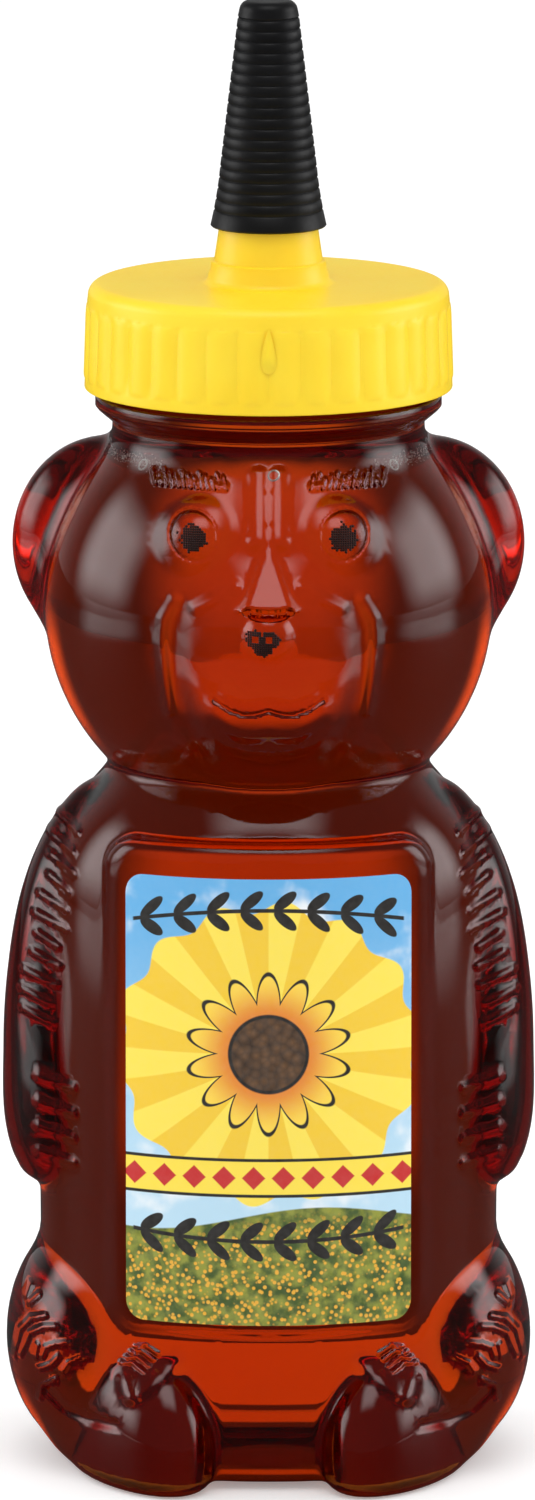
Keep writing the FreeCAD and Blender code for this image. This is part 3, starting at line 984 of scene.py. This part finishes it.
def make_label():
    rows, columns = 60, 40
    mid_z, half_h = (LABEL_LOW_Z + LABEL_TOP_Z) / 2, (LABEL_TOP_Z - LABEL_LOW_Z) / 2
    bow_y = PANEL_BOW_R - TORSO_HALF_D - PANEL_RISE
    bm = bmesh.new()

    def sheet(radius):
        grid = []
        for k in range(rows + 1):
            z = -half_h * math.cos(math.pi * k / rows)
            into = max(0, abs(z) - half_h + LABEL_CORNER_R)
            half_w = LABEL_HALF_W - LABEL_CORNER_R + math.sqrt(max(0, LABEL_CORNER_R ** 2 - into ** 2))
            line = []
            for i in range(columns + 1):
                a = (half_w * (2 * i / columns - 1)) / radius
                line.append(bm.verts.new((radius * math.sin(a), bow_y - radius * math.cos(a), mid_z + z)))
            grid.append(line)
        for k in range(rows):
            for i in range(columns):
                bm.faces.new([grid[k][i], grid[k][i + 1], grid[k + 1][i + 1], grid[k + 1][i]])
        return grid
    front = sheet(PANEL_BOW_R + LABEL_GAP + LABEL_T)
    back = sheet(PANEL_BOW_R + LABEL_GAP)
    for f in {f for line in back for v in line for f in v.link_faces}:
        f.material_index = 1
    loop = lambda g: (g[0] + [r[-1] for r in g[1:-1]] + g[-1][::-1] + [r[0] for r in g[-2:0:-1]])
    ring_wall(bm, loop(front), loop(back))
    face_out(bm)
    return mesh_object("label_sheet", bm, auto_smooth=40)


# Node helpers

class Nodes:
    """Short names for building the nodes of a material, the world or a lamp."""

    def __init__(self, owner, output):
        owner.use_nodes = True
        self.owner = owner
        self.tree = owner.node_tree
        self.tree.nodes.clear()
        self.out = self.tree.nodes.new("ShaderNodeOutput" + output)

    def put(self, socket, value):
        if isinstance(value, bpy.types.NodeSocket):
            self.tree.links.new(value, socket)
        elif isinstance(value, (tuple, list)) and len(value) == 3 and socket.type == "RGBA":
            socket.default_value = (*value, 1)
        else:
            socket.default_value = value

    def node(self, kind, inputs, **values):
        """Adds a node, fills its inputs and returns its outputs."""
        node = self.tree.nodes.new("ShaderNode" + kind)
        for key, value in values.items():
            setattr(node, key, value)
        for key, value in inputs.items():
            self.put(node.inputs[key], value)
        return node.outputs

    def math(self, op, *args):
        return self.node("Math", dict(enumerate(args)), operation=op)[0]

    plus = partialmethod(math, "ADD")
    minus = partialmethod(math, "SUBTRACT")
    times = partialmethod(math, "MULTIPLY")
    over = partialmethod(math, "DIVIDE")
    scaled = partialmethod(math, "MULTIPLY_ADD")
    most = partialmethod(math, "MAXIMUM")
    size = partialmethod(math, "ABSOLUTE")
    sine = partialmethod(math, "SINE")

    def length(self, a, b):
        return self.math("SQRT", self.plus(self.times(a, a), self.times(b, b)))

    def mix(self, share, a, b):
        """Between two colours or two numbers."""
        colours = any(isinstance(v, tuple) or getattr(v, "type", None) == "RGBA" for v in (a, b))
        kind = "RGBA" if colours else "FLOAT"
        return self.node("Mix", {"Factor": share, "A": a, "B": b}, data_type=kind)["Result"]

    def ramp(self, value, low, high, top=1.0):
        inputs = {"Value": value, "From Min": low, "From Max": high, "To Max": top}
        return self.node("MapRange", inputs, interpolation_type="SMOOTHSTEP")["Result"]

    def coords(self, kind="Object"):
        return self.node("TexCoord", {})[kind]

    def noise(self, scale, detail):
        return self.node("TexNoise", {"Scale": scale, "Detail": detail, "Vector": self.coords()})["Fac"]

    def cells(self, scale):
        return self.node("TexVoronoi", {"Scale": scale, "Vector": self.coords()})["Distance"]

    def axes(self, vector):
        return self.node("SeparateXYZ", {0: vector})

    def ray(self, kind):
        return self.node("LightPath", {})[kind]

    def bump(self, height, strength, distance):
        inputs = {"Strength": strength, "Distance": distance, "Height": height}
        return self.node("Bump", inputs)["Normal"]

    def shader(self, **values):
        """Shades the surface and returns the material."""
        inputs = {key.replace("_", " "): value for key, value in values.items()}
        self.put(self.out.inputs["Surface"], self.node("BsdfPrincipled", inputs)[0])
        return self.owner


def material(name):
    return Nodes(bpy.data.materials.new(name), "Material")


def pet_material(name, index):
    n = material(name)
    wavy = n.bump(n.noise(90, 1.0), 0.06, 0.0006)
    rough = n.ramp(n.noise(60, 3.0), 0.2, 0.9)
    rough = n.scaled(rough, 0.03, 0.015)
    return n.shader(Base_Color=(1, 1, 1), Roughness=rough, IOR=index, Transmission_Weight=1.0, Normal=wavy)


def honey_material():
    """Tinted where light enters and leaves, and darker with depth."""
    n = material("amber_honey")
    deep = n.node("VolumeAbsorption", {"Color": (0.915, 0.615, 0.077), "Density": 130.0})
    n.put(n.out.inputs["Volume"], deep[0])
    tint = n.mix(n.ramp(n.noise(35, 2.0), 0.3, 0.7), (1.0, 0.33, 0.05), (1.0, 0.39, 0.07))
    return n.shader(Base_Color=tint, Roughness=0.0, IOR=1.0, Transmission_Weight=1.0)


def bubble_painted_glint_material():
    n = material("trapped_air_painted_glint")
    # Pale grey-white: painted highlight, the light that bubbles and foam in clear honey reflect
    pale = n.mix(n.noise(900, 1.0), (0.62, 0.58, 0.54), (0.8, 0.77, 0.73))
    return n.shader(Base_Color=pale, Roughness=0.25)


def stipple_painted_shade_material():
    n = material("stippled_grain_painted_shade")
    # Near-black: painted shade, standing in for the darkness the clear moulded texture shows
    dark = n.mix(n.noise(1500, 2.0), (0.008, 0.002, 0.002), (0.03, 0.007, 0.004))
    return n.shader(Base_Color=dark, Roughness=0.45)


def cap_material():
    n = material("yellow_polypropylene")
    cloud = n.noise(70, 3.0)
    base = n.mix(n.ramp(cloud, 0.25, 0.75), (0.98, 0.66, 0.012), (1.0, 0.72, 0.03))
    grain = n.noise(2600, 2.0)
    rough = n.scaled(grain, 0.12, 0.3)
    return n.shader(Base_Color=base, Roughness=rough, Specular_IOR_Level=0.45, Subsurface_Weight=0.15,
                    Subsurface_Radius=(0.004, 0.002, 0.0006), Subsurface_Scale=0.35,
                    Normal=n.bump(grain, 0.08, 0.0001))


def cover_material():
    n = material("black_polyethylene")
    grain = n.noise(1800, 3.0)
    base = n.mix(n.ramp(n.noise(120, 3.0), 0.3, 0.7), (0.004, 0.004, 0.005), (0.007, 0.007, 0.008))
    rough = n.scaled(grain, 0.16, 0.34)
    relief = n.bump(grain, 0.15, 0.0001)
    return n.shader(Base_Color=base, Roughness=rough, Specular_IOR_Level=0.3, Normal=relief)


def liner_material():
    n = material("white_foam")
    cells = n.cells(1600.0)
    base = n.mix(cells, (0.86, 0.86, 0.84), (0.94, 0.94, 0.93))
    return n.shader(Base_Color=base, Roughness=0.7, Normal=n.bump(cells, 0.3, 0.0001))


def label_material():
    """Printed paper: blue sky, golden burst with a flower, ribbon, leaf garlands and a meadow."""
    n = material("printed_label")
    x, _, z = n.axes(n.coords())
    x = n.over(x, MM)
    z = n.over(z, MM)
    ink = (0.015, 0.012, 0.01)
    burst_z, burst_r, burst_rays = 50.0, 16.6, 14.0
    petal_r, petal_long, petal_waves, seed_r = 5.6, 3.2, 7.0, 4.1
    ribbon_z, ribbon_half, gem_pitch, gem_r = 36.0, 1.85, 3.3, 1.3
    outline = 0.5
    hill_z, hill_rise = 31.2, 1.4

    def within(value, limit, soft=0.1):
        return n.ramp(value, limit + soft, limit - soft)

    def apart(a, b):
        return n.size(n.minus(a, b))

    dz = n.minus(z, burst_z)
    r = n.length(x, dz)
    turn = n.math("ARCTAN2", dz, x)
    sky = n.mix(n.ramp(z, 34.0, 68.0), (0.50, 0.74, 0.90), (0.12, 0.44, 0.80))
    art = n.mix(n.ramp(n.noise(110, 4.0), 0.52, 0.68), sky, (0.9, 0.94, 0.97))
    wave = n.sine(n.times(turn, burst_rays))
    gold = n.mix(n.ramp(wave, -0.1, 0.1), (0.93, 0.60, 0.02), (1.0, 0.78, 0.08))
    art = n.mix(within(n.scaled(wave, -0.7, r), burst_r), art, gold)

    hill = n.sine(n.scaled(x, 0.16, 0.7))
    above_hill = n.minus(z, n.scaled(hill, hill_rise, hill_z))
    grass = n.mix(n.ramp(n.noise(620, 5.0), 0.35, 0.65), (0.05, 0.10, 0.01), (0.30, 0.32, 0.03))
    art = n.mix(within(above_hill, 0.0), art, grass)
    fleck = n.times(within(n.cells(1600.0), 0.36), within(above_hill, -1.2, 1.2))
    art = n.mix(fleck, art, (0.85, 0.42, 0.02))

    lobes = n.size(n.sine(n.times(turn, petal_waves)))
    petal = n.scaled(lobes, -petal_long, r)
    art = n.mix(within(petal, petal_r + outline), art, ink)
    leaf = n.mix(n.ramp(r, 4.0, 9.0), (0.80, 0.22, 0.01), (1.0, 0.70, 0.06))
    art = n.mix(within(petal, petal_r), art, leaf)
    brown = n.mix(n.cells(1100.0), (0.16, 0.07, 0.02), (0.03, 0.015, 0.008))
    art = n.mix(within(r, seed_r + 0.8 * outline), art, ink)
    art = n.mix(within(r, seed_r), art, brown)

    def garland(middle_z, pitch, bend, under):
        """A branch of paired leaves across the label."""
        sag = n.times(n.times(x, x), bend)
        v = n.plus(n.minus(z, middle_z), sag)
        place = n.minus(n.math("FRACT", n.over(x, pitch)), 0.5)
        u = n.times(place, pitch)
        w = n.minus(n.size(v), 0.3 * pitch)
        c, d = math.cos(0.7), math.sin(0.7)
        along = n.plus(n.times(u, c), n.times(w, d))
        across = n.minus(n.times(w, c), n.times(u, d))
        a = n.over(along, 0.42 * pitch)
        b = n.over(across, 0.17 * pitch)
        blade = within(n.plus(n.times(a, a), n.times(b, b)), 1.0)
        stem = within(n.size(v), 0.06 * pitch, 0.05)
        edge = within(n.size(x), LABEL_HALF_W - 1.6)
        return n.mix(n.times(n.most(blade, stem), edge), under, ink)
    art = garland(66.2, 3.7, 0.007, art)
    art = garland(28.8, 3.7, -0.004, art)

    ribbon = apart(z, ribbon_z)
    art = n.mix(within(ribbon, ribbon_half + 0.7 * outline, 0.06), art, ink)
    art = n.mix(within(ribbon, ribbon_half, 0.06), art, (1.0, 0.76, 0.06))
    cell = apart(n.math("FRACT", n.over(x, gem_pitch)), 0.5)
    gem = n.scaled(cell, gem_pitch, ribbon)
    art = n.mix(within(gem, gem_r), art, (0.60, 0.012, 0.012))
    fibre = n.noise(1300, 4.0)
    art = n.mix(n.times(fibre, 0.06), art, (0.8, 0.8, 0.78))
    rough = n.scaled(fibre, 0.15, 0.28)
    return n.shader(Base_Color=art, Roughness=rough, Normal=n.bump(fibre, 0.08, 0.0001))


def paper_material():
    """Bare back of the label."""
    n = material("label_backing")
    fibre = n.noise(900, 4.0)
    base = n.mix(fibre, (0.84, 0.83, 0.80), (0.92, 0.91, 0.88))
    return n.shader(Base_Color=base, Roughness=0.6, Normal=n.bump(fibre, 0.1, 0.0001))


# Dress the frame

def dress(obj, body, node, slot, *materials):
    for m in materials:
        obj.data.materials.append(m)
    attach(obj, body)
    if node:
        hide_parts(node)


stipple_painted_shade = stipple_painted_shade_material()
dress(make_shell(), "bottle", "bottle_shell", "clear_pet",
      pet_material("clear_pet", 1.57), pet_material("clear_pet_wetted", 1.05))
dress(make_honey(), "bottle", "honey_fill", "honey", honey_material())
dress(make_bubbles(), "bottle", None, "honey", bubble_painted_glint_material())
dress(grains("pupil_stipple", pupil_spots()), "bottle", None, "clear_pet", stipple_painted_shade)
dress(grains("nose_stipple", nose_spots()), "bottle", None, "clear_pet", stipple_painted_shade)
dress(make_label(), "bottle", "front_label", "label_paper", label_material(), paper_material())
dress(make_liner(), "liner", "cap_liner", "liner_foam", liner_material())
dress(make_cap(), "cap", "spout_cap", "yellow_plastic", cap_material())
dress(make_cover(), "tip", "tip_cover", "black_plastic", cover_material())


# Studio: pale floor, room, soft boxes and camera

def grey(level):
    return level, level, level


def make_floor():
    """Pale sheet, paler to the camera.

    Polish sees it dark, with a band far off at each side. Glass sees it dim, with lit bands to the four
    sides and a lit patch under and behind the feet.
    """
    bm = bmesh.new()
    bmesh.ops.create_grid(bm, x_segments=1, y_segments=1, size=FLOOR_HALF)
    obj = mesh_object("floor", bm)
    n = material("pale_floor")
    x, y, _ = n.axes(n.coords())
    wide, deep = n.size(x), n.size(y)

    def band(along, across, start):
        share = n.over(across, n.plus(along, 0.001))
        return n.times(n.ramp(share, 0.46, 0.18), n.ramp(along, start, 1.5 * start))
    u = n.over(x, PATCH_HALF_W)
    v = n.over(n.minus(y, PATCH_Y), PATCH_HALF_D)
    # Painted pool of light: glass sees this patch brighter and glowing, standing in for light through the
    # bottle falling behind its feet
    patch = n.ramp(n.length(u, v), 1.1, 0.9)
    cross = n.most(band(wide, deep, GLASS_BAND_START), band(deep, wide, GLASS_BAND_START))
    polish, glass = n.ray("Is Glossy Ray"), n.ray("Is Transmission Ray")
    dark, far = [grey(v) for v in FLOOR_POLISH_LEVELS]
    dim, half_lit, lit = [grey(v) for v in FLOOR_GLASS_LEVELS]
    front = n.ramp(n.over(y, n.length(x, y)), 0.5, 0.2)
    base = n.mix(polish, n.mix(n.noise(3.0, 2.0), *FLOOR_PALE),
                 n.mix(band(wide, deep, POLISH_BAND_START), dark, far))
    base = n.mix(glass, base, n.mix(n.most(cross, patch), n.mix(front, dim, half_lit), lit))
    seen = n.plus(n.ray("Is Camera Ray"), n.times(glass, patch))
    obj.data.materials.append(
        n.shader(Base_Color=base, Roughness=0.6, Specular_IOR_Level=0.2, Emission_Color=(1, 1, 1),
                 Emission_Strength=n.times(seen, FLOOR_GLOW)))


def make_world():
    """White to the camera and a soft light on matt surfaces.

    Polish sees a dark room, paler behind. Glass sees a dim one, paler in front, with a low lit band before
    and behind.
    """
    world = bpy.data.worlds.new("studio")
    scene.world = world
    n = Nodes(world, "World")
    _, y, z = n.axes(n.coords("Generated"))
    around, behind = ROOM_POLISH_LEVELS
    dim, half_lit, lit = ROOM_GLASS_LEVELS
    polished = n.mix(n.ramp(y, 0.5, 1.0), around, behind)
    band = n.ramp(n.times(y, y), 0.82, 0.97)
    room = n.mix(n.ramp(y, 0.5, 0.2), dim, half_lit)
    glass = n.mix(n.ramp(z, 0.215, 0.15), room, n.mix(band, room, lit))
    level = n.mix(n.ray("Is Glossy Ray"), ROOM_MATT_LEVEL, polished)
    level = n.mix(n.ray("Is Transmission Ray"), level, glass)
    level = n.mix(n.ray("Is Camera Ray"), level, 1.0)
    n.put(n.out.inputs["Surface"], n.node("Background", {"Color": (1, 1, 1), "Strength": level})[0])


def soft_box(name, place, size, watts):
    """Area lamp that fades towards its edges."""
    lamp = bpy.data.lights.new(name, "AREA")
    lamp.shape = "RECTANGLE"
    lamp.size, lamp.size_y = size
    lamp.energy = watts
    n = Nodes(lamp, "Light")
    u, v, _ = n.axes(n.node("NewGeometry", {})["Parametric"])
    fades = [n.ramp(n.math("PINGPONG", t, 0.5), 0.0, BOX_FADE_SHARE, BOX_PEAK) for t in (u, v)]
    n.put(n.out.inputs["Surface"], n.node("Emission", {"Strength": n.times(*fades)})[0])
    obj = add_object(name, lamp)
    obj.location = place
    obj.rotation_euler = (Vector((0, 0, BOX_AIM_Z)) - Vector(place)).to_track_quat("-Z", "Y").to_euler()


def make_camera():
    data = bpy.data.cameras.new("camera")
    obj = add_object("camera", data)
    aim_x = (IMAGE_W / 2 - AXIS_PX) / PX_PER_MM
    aim_z = (FLOOR_PX - IMAGE_H / 2) / PX_PER_MM / math.cos(CAMERA_UP)
    data.sensor_fit = "AUTO"
    data.sensor_width = SENSOR
    data.lens = SENSOR * CAMERA_FAR * PX_PER_MM / IMAGE_H
    data.clip_end = 20
    back, up = CAMERA_FAR * math.cos(CAMERA_UP), CAMERA_FAR * math.sin(CAMERA_UP)
    obj.location = Vector((aim_x, -back, aim_z + up)) * MM
    obj.rotation_euler = (math.pi / 2 - CAMERA_UP, 0, 0)
    scene.camera = obj


make_floor()
make_world()
for name, x in (("left_box", -0.9), ("right_box", 0.9)):
    soft_box(name, (x, 0.12, 0.37), (0.95, 0.8), 3.6)
soft_box("top_box", (0.0, -0.35, 0.95), (0.9, 0.8), 2.7)
make_camera()
scene.cycles.max_bounces = 64
scene.cycles.transmission_bounces = 64
scene.cycles.glossy_bounces = 32
scene.view_settings.view_transform = "Standard"
